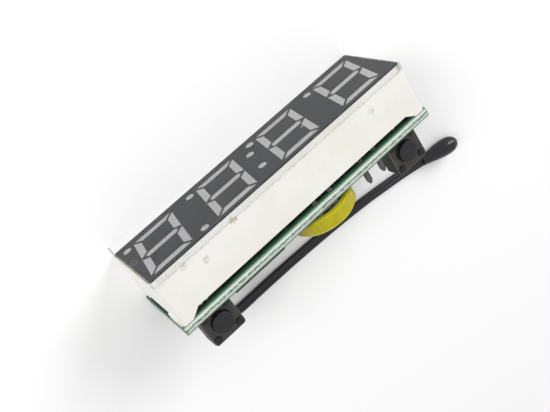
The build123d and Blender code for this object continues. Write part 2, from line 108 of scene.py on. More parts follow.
# The film's curled corner: side of the square, its inset, lift and thickness in metres, turn
CURL_SIDE, CURL_INSET, CURL_LIFT, FILM_THICKNESS = 0.001, 0.0006, 0.00003, 0.00004
CURL_TURN = 125

# The studio: where the floor fades to white in millimetres, the lamps' width, places and aim
FLOOR_FADE = (70.0, 260.0)
LAMP_WIDTH = 0.22
LEFT_LAMP_PLACE = (-0.30, -0.15, 0.24)
RIGHT_LAMP_PLACE = (0.25, -0.176, 0.257)
LAMP_AIM = Vector((0.0, 0.0, 0.006))


def linear(hex_colour):
    """Turns an sRGB hex colour such as "#d8d2c4" into linear red, green, blue and alpha."""
    text = hex_colour.lstrip("#")
    values = [int(text[i:i + 2], 16) / 255 for i in (0, 2, 4)]
    return [v / 12.92 if v <= 0.04045 else ((v + 0.055) / 1.055) ** 2.4 for v in values] + [1.0]


def tone(colour, factor):
    """The same colour, darker below 1 and lighter above."""
    return [min(channel * factor, 1.0) for channel in colour[:3]] + [1.0]


def connect(tree, node, inputs):
    """Sets a node's inputs, or links them where another node's output is given."""
    for key, value in inputs.items():
        if isinstance(value, bpy.types.NodeSocket):
            tree.links.new(value, node.inputs[key])
        else:
            node.inputs[key].default_value = value


def add_node(tree, kind, inputs=None, out=0, **settings):
    """Adds a shader node with its settings and links. Returns one of its outputs, the first
    unless told, or the node itself where out is None."""
    node = tree.nodes.new(f"ShaderNode{kind}")
    for name, value in settings.items():
        setattr(node, name, value)
    connect(tree, node, inputs or {})
    return node if out is None else node.outputs[out]


def new_material(name):
    """A node material, its Principled shader, and object coordinates in millimetres."""
    material = bpy.data.materials.new(name)
    material.use_nodes = True
    tree = material.node_tree
    tree.nodes.clear()
    shader = add_node(tree, "BsdfPrincipled", out=None)
    add_node(tree, "OutputMaterial", {"Surface": shader.outputs[0]}, out=None)
    place = add_node(tree, "TexCoord", out="Object")
    mm = add_node(tree, "VectorMath", {0: place, 1: (1000, 1000, 1000)}, operation="MULTIPLY")
    return material, tree, shader, mm


def give(material, *pieces):
    """Puts a material on CAD nodes, given by name, or on pieces made here."""
    for item in pieces:
        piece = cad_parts[item] if isinstance(item, str) else item
        if not piece.material_slots:
            piece.data.materials.append(material)
        for slot in piece.material_slots:
            slot.material = material


# Patterns that several finishes share

def clouded(tree, place, scale, detail, roughness, span, top=1.0):
    """Noise as a factor: nothing below the span's first level, up to top at its second."""
    noise = add_node(tree, "TexNoise", {"Vector": place, "Scale": scale, "Detail": detail,
                                        "Roughness": roughness})
    return add_node(tree, "MapRange", {"Value": noise, 1: span[0], 2: span[1], 4: top})


def rippled(tree, place, scale, detail, depth):
    """The relief of a skin with fine noise in it, this many millimetres deep."""
    noise = add_node(tree, "TexNoise", {"Vector": place, "Scale": scale, "Detail": detail})
    return add_node(tree, "Bump", {"Height": noise, "Distance": depth * MM})


def off_centre(tree, value, centre):
    """How far a value lies from a centre, to either side."""
    offset = add_node(tree, "Math", {0: value, 1: centre}, operation="SUBTRACT")
    return add_node(tree, "Math", {0: offset}, operation="ABSOLUTE")


def round_mark(tree, mm, centre, inner, outer, depth):
    """A round mark of this depth that fades out between two radii in millimetres."""
    away = add_node(tree, "VectorMath", {0: mm, 1: centre}, out="Value", operation="DISTANCE")
    return add_node(tree, "MapRange", {"Value": away, 1: inner, 2: outer, 3: depth, 4: 0.0})


def layered(tree, colour, layers):
    """Lays colours over a first one in turn, each as far as its factor says."""
    for factor, over in layers:
        colour = add_node(tree, "Mix", {FACTOR: factor, FIRST: colour, SECOND: over},
                          out=BLENDED, data_type="RGBA")
    return colour


def seen_by(tree, *rays):
    """One for any of these kinds of ray and nought for the light that falls on the object."""
    path = add_node(tree, "LightPath", out=None)
    seen = path.outputs[rays[0]]
    for ray in rays[1:]:
        seen = add_node(tree, "Math", {0: seen, 1: path.outputs[ray]}, operation="MAXIMUM")
    return seen


# Finishes of the display

def moulded_abs(colours):
    """ABS moulded against a lightly textured wall: satin white, a touch translucent. It has
    sink marks over two ribs, a flux stain, and handling dirt beside the film's lip."""
    material, tree, shader, mm = new_material("moulded_white_abs")
    across, back, up = add_node(tree, "SeparateXYZ", {0: mm}, out=None).outputs
    flow = add_node(tree, "TexNoise", {"Vector": mm, "Scale": 0.16, "Detail": 5.0})
    warm = add_node(tree, "MapRange", {"Value": flow, 1: 0.38, 2: 0.62})
    stains = [(warm, linear("#e9e6de"))]
    # Dirt caught in a dotted line just behind the edge of the film's lip, 0.4 mm specks
    stretched = add_node(tree, "Mapping", {0: mm, 3: (0.8, 2.5, 1.0)})
    specks = clouded(tree, stretched, 2.6, 4.0, 0.7, (0.52, 0.66))
    behind = add_node(tree, "MapRange", {"Value": back, 1: -6.62, 2: -6.55})
    ahead = add_node(tree, "MapRange", {"Value": back, 1: -6.42, 2: -6.25, 3: 1.0, 4: 0.0})
    line = add_node(tree, "Math", {0: behind, 1: ahead}, operation="MULTIPLY")
    specks = add_node(tree, "MapRange", {"Value": specks, 3: 0.1, 4: 0.9})
    line = add_node(tree, "Math", {0: line, 1: specks}, operation="MULTIPLY")
    stains.append((line, linear("#7d7a70")))
    # Thin smears of the same dirt over the front third of the top
    smear = clouded(tree, mm, 0.9, 7.0, 0.66, (0.6, 0.8))
    front = add_node(tree, "MapRange", {"Value": back, 1: -5.8, 2: -2.0, 3: 0.3, 4: 0.06})
    smear = add_node(tree, "Math", {0: smear, 1: front}, operation="MULTIPLY")
    stains.append((smear, linear("#a8a08e")))
    ragged = clouded(tree, mm, 3.0, 4.0, 0.6, (0.4, 0.58))
    for marks, mark_hex, depth in ((FLUX_MARKS, "#966a12", 0.9), (DIRT_MARKS, "#8d8a80", 0.6)):
        for x, y, radius in marks:
            spot = round_mark(tree, mm, (x, y, TOP), radius * 0.2, radius, depth)
            spot = add_node(tree, "Math", {0: spot, 1: ragged}, operation="MULTIPLY")
            stains.append((spot, linear(mark_hex)))
    # Blistered sink marks: 0.35 mm pitted cells, with painted shade, a grey, in the pits
    cells = add_node(tree, "TexVoronoi", {"Vector": mm, "Scale": 2.8})
    grain = add_node(tree, "TexNoise", {"Vector": mm, "Scale": 7.0, "Detail": 2.0})
    height = add_node(tree, "Math", {0: grain, 1: 0.25}, operation="MULTIPLY")
    for x, y, radius in SINK_MARKS:
        area = round_mark(tree, mm, (x, y, TOP), radius * 0.5, radius, 1.0)
        pits_and_pit_shade = add_node(tree, "Math", {0: area, 1: cells}, operation="MULTIPLY")
        height = add_node(tree, "Math", {0: height, 1: pits_and_pit_shade}, operation="ADD")
        pits_and_pit_shade = add_node(tree, "MapRange", {"Value": pits_and_pit_shade, 1: 0.3, 2: 0.7, 4: 0.5})
        stains.append((pits_and_pit_shade, linear("#a9a69b")))
    # The film's glue has yellowed the front half millimetre of the end walls
    glue = add_node(tree, "MapRange", {"Value": back, 1: -7.35, 2: -6.8, 3: 0.5, 4: 0.0})
    sideways = add_node(tree, "Math", {0: across}, operation="ABSOLUTE")
    sideways = add_node(tree, "MapRange", {"Value": sideways, 1: 24.9, 2: 25.08})
    glue = add_node(tree, "Math", {0: glue, 1: sideways}, operation="MULTIPLY")
    stains.append((glue, linear("#d9d8a8")))
    # Grime along the top edge of each end wall
    rubbed = add_node(tree, "MapRange", {"Value": up, 1: 14.9, 2: 15.2})
    rubbed = add_node(tree, "Math", {0: rubbed, 1: sideways}, operation="MULTIPLY")
    rubbed = add_node(tree, "Math", {0: rubbed, 1: 0.45}, operation="MULTIPLY")
    stains.append((rubbed, linear("#b9b5a2")))
    rough = add_node(tree, "MapRange", {"Value": flow, 1: 0.3, 2: 0.7, 3: 0.36, 4: 0.48})
    normal = add_node(tree, "Bump", {"Height": height, "Distance": 0.06 * MM})
    connect(tree, shader, {"Base Color": layered(tree, colours.moulding[:], stains),
                           "Roughness": rough, "Normal": normal, "IOR": 1.53,
                           "Subsurface Weight": 0.08, "Subsurface Scale": 0.001})
    return material


def printed_face(colours):
    """Matt ink rolled over the moulding's face: near black, faintly cloudy, finely scratched,
    with a small oval moulding mark at the right end and one white chip."""
    material, tree, shader, mm = new_material("rolled_matt_ink")
    cloud = clouded(tree, mm, 1.4, 6.0, 0.7, (0.35, 0.7))
    # Scratches about 0.1 mm wide and 4 mm long, in patches
    turned = add_node(tree, "Mapping", {0: mm, 2: (0, 0.9, 0), 3: (0.25, 1.0, 5.0)})
    fine = clouded(tree, turned, 1.6, 2.0, 0.5, (0.66, 0.72))
    patch = clouded(tree, mm, 0.2, 1.0, 0.5, (0.46, 0.56), 0.8)
    fine = add_node(tree, "Math", {0: fine, 1: patch}, operation="MULTIPLY")
    # Oval mark, 1.5 by 0.9 mm, its rim rubbed pale
    oval = add_node(tree, "VectorMath", {0: mm, 1: (24.1, FACE, 6.9)}, operation="SUBTRACT")
    oval = add_node(tree, "VectorMath", {0: oval, 1: (1.3, 0.0, 0.9)}, operation="MULTIPLY")
    oval = add_node(tree, "VectorMath", {0: oval}, out="Value", operation="LENGTH")
    inner = add_node(tree, "MapRange", {"Value": oval, 1: 0.42, 2: 0.6})
    outer = add_node(tree, "MapRange", {"Value": oval, 1: 0.68, 2: 0.85, 3: 1.0, 4: 0.0})
    rim = add_node(tree, "Math", {0: inner, 1: outer}, operation="MULTIPLY")
    worn = add_node(tree, "Math", {0: rim, 1: 0.6}, operation="MULTIPLY")
    chip = round_mark(tree, mm, (-8.4, FACE, 9.75), 0.12, 0.3, 1.0)
    colour = layered(tree, colours.ink[:],
                     [(cloud, tone(colours.ink, 1.7)), (fine, linear("#77777a")),
                      (worn, linear("#6a6b6e")), (chip, colours.segments[:])])
    grain = add_node(tree, "TexNoise", {"Vector": mm, "Scale": 9.0, "Detail": 2.0})
    height = add_node(tree, "Math", {0: rim, 1: grain}, operation="ADD")
    normal = add_node(tree, "Bump", {"Height": height, "Distance": 0.012 * MM})
    connect(tree, shader, {"Base Color": colour, "Roughness": 0.62, "Normal": normal,
                           "IOR": 1.5, "Specular IOR Level": 0.3})
    return material


def diffusing_epoxy(colours):
    """Epoxy filled with glass powder and cast in the wells: milky, a mottled grey unlit."""
    material, tree, shader, mm = new_material("cast_diffusing_epoxy")
    mottle = clouded(tree, mm, 1.8, 6.0, 0.72, (0.34, 0.66))
    colour = add_node(tree, "Mix", {FACTOR: mottle, FIRST: tone(colours.segments, 0.86),
                                    SECOND: tone(colours.segments, 1.1)},
                      out=BLENDED, data_type="RGBA")
    connect(tree, shader, {"Base Color": colour, "Roughness": 0.5, "IOR": 1.52,
                           "Normal": rippled(tree, mm, 5.0, 2.0, 0.008),
                           "Subsurface Weight": 0.1, "Subsurface Scale": 0.0004})
    return material


def cast_film(colours):
    """Polyester film, cast clear and laid on by hand: it shows only by its reflection, so it
    is a mirror that covers more at grazing angles, with fine scratches and slow waves."""
    material, tree, shader, mm = new_material("clear_polyester_film")
    across, back, up = add_node(tree, "SeparateXYZ", {0: mm}, out=None).outputs
    grazing = add_node(tree, "LayerWeight", {"Blend": 0.5}, out="Facing")
    grazing = add_node(tree, "Math", {0: grazing, 1: 5.0}, operation="POWER")
    # Each of the two skins gives half of what the whole film reflects
    cover = add_node(tree, "MapRange", {"Value": grazing, 3: 0.02, 4: 0.5})
    stretched = add_node(tree, "Mapping", {0: mm, 2: (0, 0.5, 0), 3: (0.3, 1.0, 6.0)})
    scratch = add_node(tree, "TexNoise", {"Vector": stretched, "Scale": 1.5, "Detail": 3.0})
    rough = add_node(tree, "MapRange", {"Value": scratch, 1: 0.4, 2: 0.7, 3: 0.12, 4: 0.3})
    # Cut edges at both ends and at the back of the lip: cloudy, with dirt caught along them
    ends = add_node(tree, "Math", {0: across}, operation="ABSOLUTE")
    ends = add_node(tree, "MapRange", {"Value": ends, 1: 24.82, 2: 24.95})
    lip = add_node(tree, "MapRange", {"Value": back, 1: -6.68, 2: -6.62, 4: 0.6})
    cut = add_node(tree, "Math", {0: ends, 1: lip}, operation="MAXIMUM")
    dirt = clouded(tree, mm, 2.6, 4.0, 0.7, (0.52, 0.62))
    tint = add_node(tree, "Mix", {FACTOR: dirt, FIRST: linear("#d8dcc4"),
                                  SECOND: linear("#6a695c")}, out=BLENDED, data_type="RGBA")
    tint = add_node(tree, "Mix", {FACTOR: cut, FIRST: colours.film[:], SECOND: tint},
                    out=BLENDED, data_type="RGBA")
    # Laid flat on the white top, the lip hardly shows
    laid = add_node(tree, "MapRange", {"Value": up, 1: 15.25, 2: 15.32, 3: 1.0, 4: 0.2})
    cover = add_node(tree, "Math", {0: cover, 1: laid}, operation="MULTIPLY")
    cover = add_node(tree, "Mix", {0: cut, 2: cover, 3: 0.5})
    bare = add_node(tree, "Math", {0: 1.0, 1: cut}, operation="SUBTRACT")
    connect(tree, shader, {"Base Color": tint, "Metallic": bare, "Roughness": rough,
                           "Alpha": cover, "Normal": rippled(tree, mm, 0.22, 2.0, 0.05)})
    return material


# Finishes of the board and what is soldered to it

def masked_laminate(colours):
    """Glass-epoxy laminate under glossy green solder mask, darker where there is no copper.
    Its raw edges are pale: smooth where the V score was milled, torn where it snapped."""
    material, tree, shader, mm = new_material("masked_glass_epoxy")
    across, back, up = add_node(tree, "SeparateXYZ", {0: mm}, out=None).outputs
    facing = add_node(tree, "TexCoord", out="Normal")
    facing = add_node(tree, "SeparateXYZ", {0: facing}, out=1)
    facing = add_node(tree, "Math", {0: facing}, operation="ABSOLUTE")
    flat = add_node(tree, "MapRange", {"Value": facing, 1: 0.93, 2: 0.97})
    # Copper areas with 0.4 mm gaps between them, squared off by the Chebychev distance
    islands = add_node(tree, "TexVoronoi", {"Vector": mm, "Scale": 0.3, "Randomness": 0.8},
                       distance="CHEBYCHEV", feature="F1")
    islands = add_node(tree, "MapRange", {"Value": islands, 1: 0.47, 2: 0.49})
    # Painted light along the top of the front face, beside the score: paler green where light
    # reaches into the gap under the housing
    painted_gap_light = add_node(tree, "MapRange", {"Value": up, 1: 14.1, 2: 15.2, 4: 0.8})
    front = add_node(tree, "MapRange", {"Value": back, 1: 1.3, 2: 1.5, 3: 1.0, 4: 0.0})
    painted_gap_light = add_node(tree, "Math", {0: painted_gap_light, 1: front}, operation="MULTIPLY")
    mask = layered(tree, colours.mask[:],
                   [(islands, tone(colours.mask, 0.6)), (painted_gap_light, linear("#5f8a6c"))])
    # Edge: torn glass fibres in the middle of the thickness, milled bevels on both sides
    middle = off_centre(tree, back, BOARD_MIDDLE)
    stretched = add_node(tree, "Mapping", {0: mm, 3: (0.6, 1.8, 1.0)})
    fibre = add_node(tree, "TexNoise", {"Vector": stretched, "Scale": 2.6, "Detail": 6.0,
                                        "Roughness": 0.75})
    streak = add_node(tree, "MapRange", {"Value": fibre, 1: 0.3, 2: 0.7, 3: 0.75, 4: 1.2})
    # The milled slope pales from the mask's green to bare laminate at its crest
    slope = add_node(tree, "MapRange", {"Value": middle, 1: 0.78, 2: 0.42})
    slope = add_node(tree, "Math", {0: slope, 1: streak}, operation="MULTIPLY")
    crest = off_centre(tree, middle, 0.33)
    crest = add_node(tree, "MapRange", {"Value": crest, 1: 0.03, 2: 0.09, 3: 1.0, 4: 0.0})
    torn = add_node(tree, "MapRange", {"Value": fibre, 1: 0.4, 2: 0.56})
    torn = add_node(tree, "Mix", {FACTOR: torn, FIRST: linear("#4a564c"),
                                  SECOND: linear("#b4c0b4")}, out=BLENDED, data_type="RGBA")
    inside = add_node(tree, "MapRange", {"Value": middle, 1: 0.24, 2: 0.29, 3: 1.0, 4: 0.0})
    # Its short ends are darker, with the mask's green smeared over them
    ends = add_node(tree, "Math", {0: across}, operation="ABSOLUTE")
    ends = add_node(tree, "MapRange", {"Value": ends, 1: 25.15, 2: 25.3, 4: 0.65})
    colour = layered(tree, tone(colours.mask, 1.6),
                     [(slope, colours.laminate[:]), (crest, linear("#f2faf2")), (inside, torn),
                      (ends, tone(colours.mask, 1.5)), (flat, mask)])
    rough = add_node(tree, "MapRange", {"Value": flat, 3: 0.6, 4: 0.2})
    step = add_node(tree, "Math", {0: islands, 1: -0.4}, operation="MULTIPLY")
    height = add_node(tree, "Mix", {0: flat, 2: fibre, 3: step})
    normal = add_node(tree, "Bump", {"Height": height, "Distance": 0.08 * MM})
    connect(tree, shader, {"Base Color": colour, "Roughness": rough, "Normal": normal,
                           "IOR": 1.52})
    return material


def reflowed_tin(name, colour, roughness):
    """Solder and dipped leads: soft tin alloy that froze bright, with a rippled dull skin."""
    material, tree, shader, mm = new_material(name)
    skin = add_node(tree, "TexNoise", {"Vector": mm, "Scale": 2.4, "Detail": 4.0,
                                       "Roughness": 0.6})
    dull = add_node(tree, "MapRange", {"Value": skin, 1: 0.35, 2: 0.65})
    mixed = add_node(tree, "Mix", {FACTOR: dull, FIRST: tone(colour, 0.7),
                                   SECOND: tone(colour, 1.1)}, out=BLENDED, data_type="RGBA")
    rough = add_node(tree, "MapRange", {"Value": skin, 1: 0.35, 2: 0.65, 3: roughness + 0.12,
                                        4: roughness})
    normal = add_node(tree, "Bump", {"Height": skin, "Distance": 0.04 * MM})
    connect(tree, shader, {"Base Color": mixed, "Metallic": 1.0, "Roughness": rough,
                           "Normal": normal})
    return material


def moulded_polymer(name, colour, roughness):
    """Filled polymer packages and switch bodies: matt from an eroded mould, with a grain
    0.12 mm across, greyer where handling has rubbed it."""
    material, tree, shader, mm = new_material(name)
    rub = clouded(tree, mm, 1.1, 6.0, 0.7, (0.45, 0.75))
    mixed = add_node(tree, "Mix", {FACTOR: rub, FIRST: colour, SECOND: tone(colour, 1.9)},
                     out=BLENDED, data_type="RGBA")
    rough = add_node(tree, "MapRange", {"Value": rub, 3: roughness, 4: roughness + 0.12})
    connect(tree, shader, {"Base Color": mixed, "Roughness": rough, "IOR": 1.55,
                           "Normal": rippled(tree, mm, 1 / 0.12, 2.0, 0.012),
                           "Specular IOR Level": 0.25})
    return material


def fired_ceramic(name, colour):
    """Chip resistors and capacitors: fired ceramic under a thin hard glaze."""
    material, tree, shader, mm = new_material(name)
    speck = add_node(tree, "TexNoise", {"Vector": mm, "Scale": 5.0, "Detail": 3.0})
    mixed = add_node(tree, "Mix", {FACTOR: speck, FIRST: tone(colour, 0.75),
                                   SECOND: tone(colour, 1.25)}, out=BLENDED, data_type="RGBA")
    normal = add_node(tree, "Bump", {"Height": speck, "Distance": 0.01 * MM})
    connect(tree, shader, {"Base Color": mixed, "Roughness": 0.34, "Normal": normal,
                           "Coat Weight": 0.4, "Coat Roughness": 0.15, "IOR": 1.6})
    return material


def pressed_sheet(name, colour, roughness, edge, border=None):
    """Plated steel pressed from rolled sheet: cloudy faces with fine rolling lines along x,
    and sides paler by this factor as a painted highlight. A square sheet's
    border is its centre's x to either side and y, and its half width, in millimetres."""
    material, tree, shader, mm = new_material(name)
    cloud = clouded(tree, mm, 0.8, 5.0, 0.6, (0.35, 0.65))
    up = add_node(tree, "TexCoord", out="Normal")
    up = add_node(tree, "SeparateXYZ", {0: up}, out=2)
    side = add_node(tree, "MapRange", {"Value": up, 1: 0.5, 2: 0.9, 3: 1.0, 4: 0.0})
    if border:
        # The outer 0.15 mm of a square cover is painted bright as its edge highlight
        axes = add_node(tree, "SeparateXYZ", {0: mm}, out=None)
        across = add_node(tree, "Math", {0: axes.outputs[0]}, operation="ABSOLUTE")
        worn = add_node(tree, "Math", {0: off_centre(tree, across, border[0]),
                                       1: off_centre(tree, axes.outputs[1], border[1])},
                        operation="MAXIMUM")
        worn = add_node(tree, "MapRange", {"Value": worn, 1: border[2] - 0.16,
                                           2: border[2] - 0.04, 4: 0.8})
        side = add_node(tree, "Math", {0: side, 1: worn}, operation="MAXIMUM")
    mixed = layered(tree, tone(colour, 0.85), [(cloud, tone(colour, 1.2)),
                                               (side, tone(colour, edge))])
    stretched = add_node(tree, "Mapping", {0: mm, 3: (0.1, 1.0, 1.0)})
    rough = add_node(tree, "MapRange", {"Value": cloud, 3: roughness, 4: roughness + 0.1})
    connect(tree, shader, {"Base Color": mixed, "Metallic": 1.0, "Roughness": rough,
                           "Normal": rippled(tree, stretched, 9.0, 3.0, 0.006)})
    return material


def shrunk_sleeve(colours):
    """Polyolefin sleeve shrunk over the cell: saturated yellow, glossy over soft draw marks,
    with a painted highlight, paler yellow, along both rims."""
    material, tree, shader, mm = new_material("shrunk_yellow_polyolefin")
    back = add_node(tree, "SeparateXYZ", {0: mm}, out=1)
    draw = clouded(tree, mm, 0.6, 3.0, 0.5, (0.35, 0.65))
    # Painted highlight: paler yellow along both rims of the sleeve
    rim = off_centre(tree, back, SLEEVE_MIDDLE)
    rim = add_node(tree, "MapRange", {"Value": rim, 1: 1.0, 2: 1.25, 4: 0.7})
    mixed = layered(tree, colours.sleeve[:], [(draw, tone(colours.sleeve, 0.88)),
                                              (rim, tone(colours.sleeve, 1.15))])
    connect(tree, shader, {"Base Color": mixed, "Roughness": 0.24, "IOR": 1.5,
                           "Normal": rippled(tree, mm, 0.7, 3.0, 0.12),
                           "Specular IOR Level": 0.35,
                           "Subsurface Weight": 0.12, "Subsurface Scale": 0.0008})
    return material


def extruded_pvc(colours):
    """Soft PVC extruded over two cores: satin black, with die lines along the lead and a
    little pale dust."""
    material, tree, shader, mm = new_material("extruded_black_pvc")
    stretched = add_node(tree, "Mapping", {0: mm, 3: (0.08, 1.0, 1.0)})
    lines = add_node(tree, "TexNoise", {"Vector": stretched, "Scale": 6.0, "Detail": 3.0})
    dust = clouded(tree, mm, 2.2, 6.0, 0.7, (0.6, 0.78), 0.16)
    mixed = layered(tree, tone(colours.lead, 0.6), [(lines, tone(colours.lead, 1.5)),
                                                    (dust, linear("#8a8a8e"))])
    rough = add_node(tree, "MapRange", {"Value": lines, 1: 0.3, 2: 0.7, 3: 0.3, 4: 0.45})
    normal = add_node(tree, "Bump", {"Height": lines, "Distance": 0.03 * MM})
    connect(tree, shader, {"Base Color": mixed, "Roughness": rough, "Normal": normal,
                           "IOR": 1.53, "Specular IOR Level": 0.25})
    return material


def dipped_epoxy(colours):
    """Bead dipped in black epoxy and cured hanging: glossy, with slow ripples."""
    material, tree, shader, mm = new_material("dipped_black_epoxy")
    ripple = add_node(tree, "TexNoise", {"Vector": mm, "Scale": 0.8, "Detail": 3.0})
    mixed = add_node(tree, "Mix", {FACTOR: ripple, FIRST: tone(colours.bead, 0.8),
                                   SECOND: tone(colours.bead, 1.3)},
                     out=BLENDED, data_type="RGBA")
    normal = add_node(tree, "Bump", {"Height": ripple, "Distance": 0.15 * MM})
    connect(tree, shader, {"Base Color": mixed, "Roughness": 0.16, "Normal": normal,
                           "IOR": 1.55, "Specular IOR Level": 0.35})
    return material


def screen_ink(colours):
    """Epoxy legend ink, silk-screened: flat, slightly starved white."""
    material, tree, shader, mm = new_material("screened_epoxy_ink")
    starved = add_node(tree, "TexNoise", {"Vector": mm, "Scale": 6.0, "Detail": 3.0})
    mixed = add_node(tree, "Mix", {FACTOR: starved, FIRST: colours.legend[:],
                                   SECOND: tone(colours.legend, 0.7)},
                     out=BLENDED, data_type="RGBA")
    connect(tree, shader, {"Base Color": mixed, "Roughness": 0.55, "IOR": 1.5})
    return material


# Modelling helpers

def finish_piece(pieces, name, material):
    """Joins pieces into one at the origin, with outward normals, a finish and a body."""
    for piece in pieces:
        piece.select_set(True)
    bpy.context.view_layer.objects.active = pieces[0]
    bpy.ops.object.join()
    whole = bpy.context.object
    whole.name = name
    bpy.ops.object.transform_apply(location=True, rotation=True, scale=True)
    bpy.ops.object.mode_set(mode="EDIT")
    bpy.ops.mesh.select_all(action="SELECT")
    bpy.ops.mesh.remove_doubles(threshold=1e-7)
    bpy.ops.mesh.normals_make_consistent(inside=False)
    bpy.ops.object.mode_set(mode="OBJECT")
    give(material, whole)
    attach(whole, BODY)
    return whole


# Sizes and colours a user may change

def colour_choice(name, hex_colour, description):
    """A colour that a user may change, given by its sRGB hex value."""
    return FloatVectorProperty(name=name, description=description, subtype="COLOR", size=4,
                               default=linear(hex_colour))


class DisplayColours(bpy.types.PropertyGroup):
    """Main colours of the module"""

    moulding: colour_choice("Moulding", "#edece8", "White housing")
    ink: colour_choice("Face ink", "#1b1c20", "Dark ink on the face")
    segments: colour_choice("Segments", "#b4b4b2", "Unlit segments")
    film: colour_choice("Film", "#ffffff", "Tint of its reflection")
    mask: colour_choice("Solder mask", "#1d4430", "Green board faces")
    laminate: colour_choice("Board edge", "#c4d6c3", "Raw board edge")
    legend: colour_choice("Legend", "#d9d9d0", "Printed outlines")
    solder: colour_choice("Solder", "#a3a39f", "Joints and leads")
    chip: colour_choice("Chips", "#1d1d1f", "Chip packages")
    # The covers' dark colour is partly painted reflection: the metal is darkened as if it mirrored
    # a dark room
    cover: colour_choice("Switch covers", "#484542", "Tarnished cover plates, darkened as painted reflection")
    button: colour_choice("Buttons", "#1c1d20", "Switch buttons")
    nickel: colour_choice("Nickel", "#c8c4bc", "Cell can and tabs")
    sleeve: colour_choice("Cell sleeve", "#b9ae08", "Sleeve round the cell")
    lead: colour_choice("Lead", "#222126", "Lead's insulation")
    bead: colour_choice("Bead", "#101015", "Thermistor's bead")


class PrintSettings(bpy.types.PropertyGroup):
    """Sizes of what is printed and plated on the back of the board"""

    line: FloatProperty(name="Line width", default=0.00016, unit="LENGTH",
                        description="Width of the printed outlines")
    margin: FloatProperty(name="Margin", default=0.00025, unit="LENGTH",
                          description="Gap between a part and its outline")
    pad_radius: FloatProperty(name="Pad radius", default=0.00045, unit="LENGTH",
                              description="Radius of the round test pads")
    film_curl: FloatProperty(name="Film curl", default=0.00034, unit="LENGTH",
                             description="Radius to which the film's free corner has curled")


class LeadSettings(bpy.types.PropertyGroup):
    """Sizes of the thermistor's lead"""

    core_radius: FloatProperty(name="Core radius", default=0.00045, unit="LENGTH",
                               description="Outside radius of each insulated core")
    length: FloatProperty(name="Length", default=0.0535, unit="LENGTH",
                          description="Length from the bare ends to the bead")
    sides: IntProperty(name="Sides", default=14, min=6, description="Facets round each core")


class StudioSettings(bpy.types.PropertyGroup):
    """Light, floor and camera"""

    floor: colour_choice("Floor", "#fefefe", "Colour of the floor")
    ambient: FloatProperty(name="Ambient", default=0.56, min=0.0,
                           description="Strength of the light from all round")
    left_lamp: FloatProperty(name="Left lamp", default=0.8, unit="POWER",
                             description="Power of the lamp at the module's left end")
    right_lamp: FloatProperty(name="Right lamp", default=0.62, unit="POWER",
                              description="Power of the lamp at the module's right end")
    lens: FloatProperty(name="Lens", default=58.343, subtype="DISTANCE_CAMERA",
                        description="Focal length on a 36 mm wide sensor")
    position: FloatVectorProperty(name="Camera", subtype="TRANSLATION", unit="LENGTH",
                                  default=(0.034307, -0.064416, 0.126440),
                                  description="Where the camera stands")
    turn: FloatVectorProperty(name="Camera turn", subtype="EULER",
                              default=[math.radians(a) for a in (-14.41488, -28.29638, 145.12667)],
                              description="How the camera is turned")


class DISPLAY_OT_lead(bpy.types.Operator):
    """Makes the thermistor's flat twin lead and finishes its bead"""

    bl_idname = "display.lead"
    bl_label = "Make the thermistor lead"

    def execute(self, context):
        sizes = context.scene.display_lead
        line = bpy.data.curves.new("lead_line", "CURVE")
        line.dimensions = "3D"
        line.twist_mode = "Z_UP"
        line.resolution_u = 12
        spline = line.splines.new("NURBS")
        spline.points.add(len(LEAD_ROUTE) - 1)
        for point, place in zip(spline.points, LEAD_ROUTE):
            point.co = (*place, 1.0)
        spline.order_u = 3
        spline.use_endpoint_u = True
        route = bpy.data.objects.new("lead_line", line)
        context.collection.objects.link(route)
        path = [vertex.co.copy() for vertex in bpy.data.meshes.new_from_object(route).vertices]

        # Two round cores moulded side by side, with a groove between them
        radius, sides = sizes.core_radius, sizes.sides
        outline = []
        for side in (1, -1):
            for k in range(sides + 1):
                angle = math.radians(CORE_ARC * (k / sides - 0.5))
                outline.append((side * radius * (1 + math.cos(angle)),
                                side * radius * math.sin(angle)))
        profile = bpy.data.curves.new("lead_section", "CURVE")
        loop = profile.splines.new("POLY")
        loop.points.add(len(outline) - 1)
        for point, place in zip(loop.points, outline):
            point.co = (*place, 0.0, 1.0)
        loop.use_cyclic_u = True
        section = bpy.data.objects.new("lead_section", profile)
        context.collection.objects.link(section)
        line.bevel_mode = "OBJECT"
        line.bevel_object = section
        line.use_fill_caps = True
        bpy.ops.object.select_all(action="DESELECT")
        route.select_set(True)
        context.view_layer.objects.active = route
        bpy.ops.object.convert(target="MESH")
        lead = context.object
        lead.name = "thermistor_twin_lead"
        bpy.data.objects.remove(section)
        bpy.ops.object.shade_smooth_by_angle(angle=math.radians(50))
        give(extruded_pvc(context.scene.display_colours), lead)
        give(dipped_epoxy(context.scene.display_colours), "thermistor_bead")
        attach(lead, BODY)
        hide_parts("thermistor_lead")
        return {"FINISHED"}


class DISPLAY_OT_face(bpy.types.Operator):
    """Finishes the display: housing, inked face, segments, film and what lies behind"""

    bl_idname = "display.face"
    bl_label = "Finish the display"

    def execute(self, context):
        colours = context.scene.display_colours
        give(moulded_abs(colours), "reflector_housing")
        give(printed_face(colours), "face_mask")
        give(diffusing_epoxy(colours), "digit_1_segments", "digit_2_segments",
             "digit_3_segments", "digit_4_segments", "colon_and_degree_dots")
        give(cast_film(colours), "protective_film")
        give(fired_ceramic("gallium_die", linear("#c9b15e")), "led_dies")
        give(moulded_polymer("cream_phenolic_paper", linear("#c9b98c"), 0.5),
             "display_substrate")
        return {"FINISHED"}


